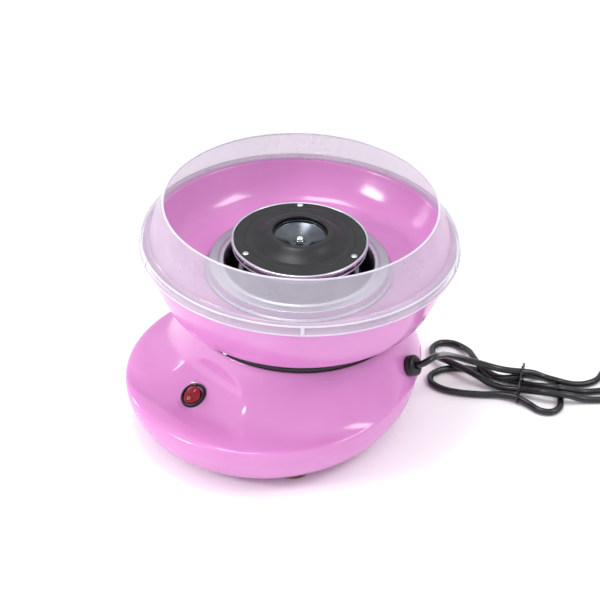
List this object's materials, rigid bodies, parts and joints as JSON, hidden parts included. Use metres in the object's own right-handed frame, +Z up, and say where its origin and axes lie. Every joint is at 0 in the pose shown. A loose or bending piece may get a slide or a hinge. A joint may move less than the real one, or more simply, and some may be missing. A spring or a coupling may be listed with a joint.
{
  "type": "cotton candy machine",
  "caption": "Small table-top cotton candy machine: lobed base with rocker switch, lift-off bowl and clear splash guard, lift-off spinning sugar head over a ring heater, mains lead",
  "frame": {"origin": "On the table under the middle of the machine's outline, its lead left out", "axes": "+Z up; -Y is the front, where the switch is; the spindle stands 10 mm behind the origin along +Z; X is the machine's right-hand side seen from behind the switch"},
  "size_m": [0.4586, 0.458, 0.2072],
  "materials": {
    "pink_abs": "glossy pink moulding",
    "black_plastic": "satin black moulding",
    "clear_plastic": "milky clear, glossy",
    "rubber": "soft brownish rubber",
    "aluminium": "spun and brushed",
    "steel": "zinc-plated pressed steel",
    "chrome": "bright plated",
    "brass": "turned brass",
    "ceramic": "unglazed white ceramic or hard resin",
    "red_plastic": "translucent red moulding",
    "cord_pvc": "glossy black cable sheath",
    "wire_blue": "blue wire sleeve",
    "wire_brown": "brown wire sleeve"
  },
  "bodies": {
    "base": {"base_shell": "pink_abs", "bottom_plate": "pink_abs", "foot_front_left": "rubber", "foot_front_right": "rubber", "foot_rear_left": "rubber", "foot_rear_right": "rubber", "plate_screw_1": "steel", "plate_screw_2": "steel", "plate_screw_3": "steel", "plate_screw_4": "steel", "neck_collar": "black_plastic", "heater_pan": "aluminium", "heating_element": "steel", "ceramic_post_1": "ceramic", "ceramic_post_2": "ceramic", "ceramic_post_3": "ceramic", "heater_strap_1": "steel", "heater_strap_2": "steel", "heater_strap_3": "steel", "thermal_cutout": "ceramic", "motor_plate": "steel", "motor_damper_1": "rubber", "motor_damper_2": "rubber", "motor_damper_3": "rubber", "motor_can": "steel", "motor_end_cap": "black_plastic", "bearing_top": "brass", "bearing_bottom": "brass", "switch_body": "black_plastic", "terminal_block": "ceramic", "switch_lead": "wire_brown", "supply_lead": "cord_pvc", "motor_lead": "wire_blue", "cord_gland": "black_plastic", "gland_nut": "black_plastic", "power_cord": "cord_pvc", "cord_coil": "cord_pvc", "cord_tail": "cord_pvc", "cord_tie": "cord_pvc", "coil_tie": "cord_pvc", "plug_body": "cord_pvc", "plug_pin_1": "brass", "plug_pin_2": "brass"},
    "rotor": {"spindle": "steel", "armature": "steel", "drive_pin": "steel", "cooling_fan": "black_plastic"},
    "head": {"head_hub": "brass", "head_cover": "black_plastic", "head_upper_plate": "aluminium", "head_lower_plate": "aluminium", "mesh_band": "steel", "head_rivet_1": "aluminium", "head_rivet_2": "aluminium", "head_rivet_3": "aluminium", "sugar_cup": "chrome", "cap_nut": "chrome"},
    "bowl": {"bowl": "pink_abs"},
    "guard": {"splash_guard": "clear_plastic"},
    "switch_rocker": {"rocker": "red_plastic"}
  },
  "joints": [
    {"name": "rotor_spin", "type": "hinge", "parent": "base", "child": "rotor", "pos_m": [0, 0.01, 0.1], "axis": [0, 0, 1], "continuous": true},
    {"name": "head_lift", "type": "slide", "parent": "rotor", "child": "head", "axis": [0, 0, 1], "range_m": [0, 0.05]},
    {"name": "bowl_lift", "type": "slide", "parent": "base", "child": "bowl", "axis": [0, 0, 1], "range_m": [0, 0.1]},
    {"name": "guard_lift", "type": "slide", "parent": "bowl", "child": "guard", "axis": [0, 0, 1], "range_m": [0, 0.06]},
    {"name": "switch_rock", "type": "hinge", "parent": "base", "child": "switch_rocker", "pos_m": [0, -0.1015, 0.0525], "axis": [-1, 0, 0], "range_deg": [0, 16]}
  ]
}
